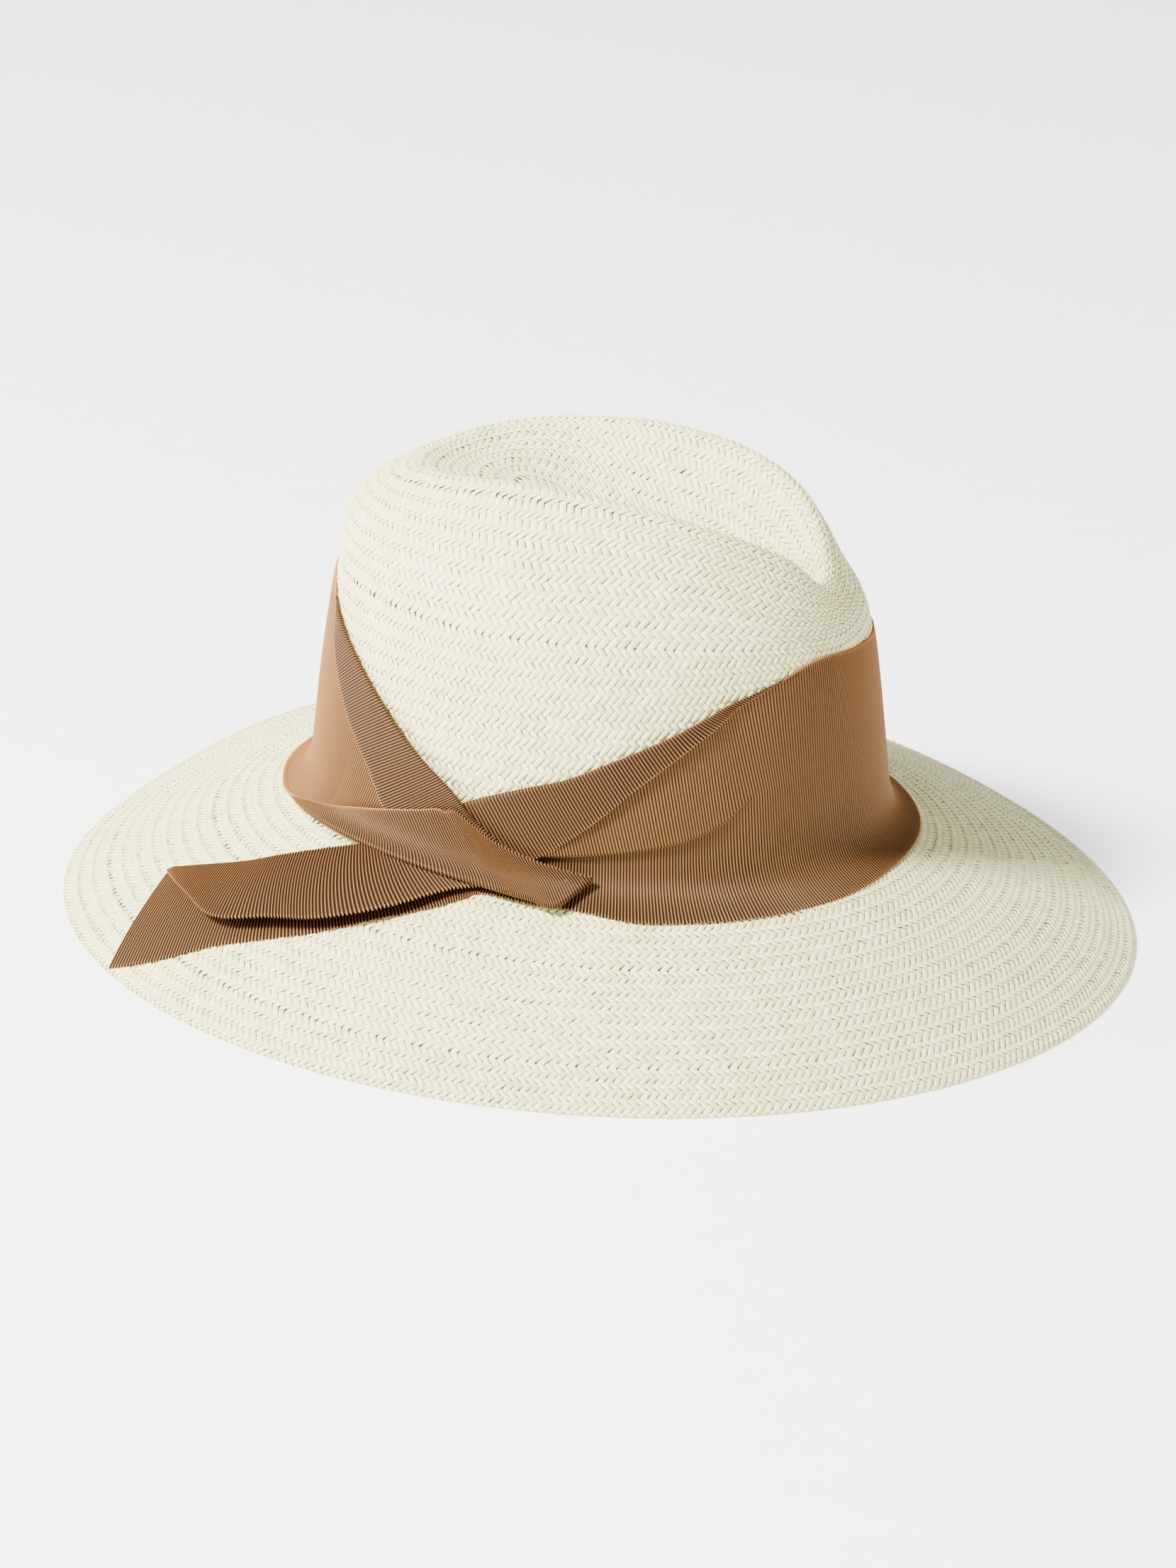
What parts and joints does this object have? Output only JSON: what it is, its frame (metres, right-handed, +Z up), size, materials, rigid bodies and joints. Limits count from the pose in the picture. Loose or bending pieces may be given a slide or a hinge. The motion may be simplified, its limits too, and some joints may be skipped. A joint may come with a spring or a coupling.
{
  "type": "panama hat",
  "caption": "Wide-brim woven straw hat with a teardrop dent, pinched front and a brown grosgrain ribbon folded, crossed and hanging loose at one side.",
  "frame": {"origin": "below the middle of the brim, on the surface that the brim rests on", "axes": "+Z up through the crown, -Y towards the front of the hat, +X towards the wearer's left"},
  "size_m": [0.3414, 0.3724, 0.1601],
  "materials": {
    "straw": "satin",
    "ribbon": "ribbed",
    "lining": "ribbed",
    "thread": "matte"
  },
  "bodies": {
    "hat": {"straw_body": "straw", "brim_hem_thread": "thread", "sweatband": "lining", "sweatband_seam_thread": "thread", "sweatband_join_tape": "lining", "ribbon_band": "ribbon", "knot_tack_thread": "thread"},
    "short_end": {"ribbon_short_end": "ribbon"},
    "tail": {"ribbon_tail": "ribbon"}
  },
  "joints": [
    {"name": "tail_lift", "type": "hinge", "parent": "hat", "child": "tail", "pos_m": [-0.093, 0.014, 0.042], "axis": [0.8449, 0.4219, 0.3289], "range_deg": [0, 60]},
    {"name": "short_end_lift", "type": "hinge", "parent": "hat", "child": "short_end", "pos_m": [-0.0905, 0.004, 0.05675], "axis": [-0.2969, 0.4948, -0.8167], "range_deg": [0, 50]}
  ]
}
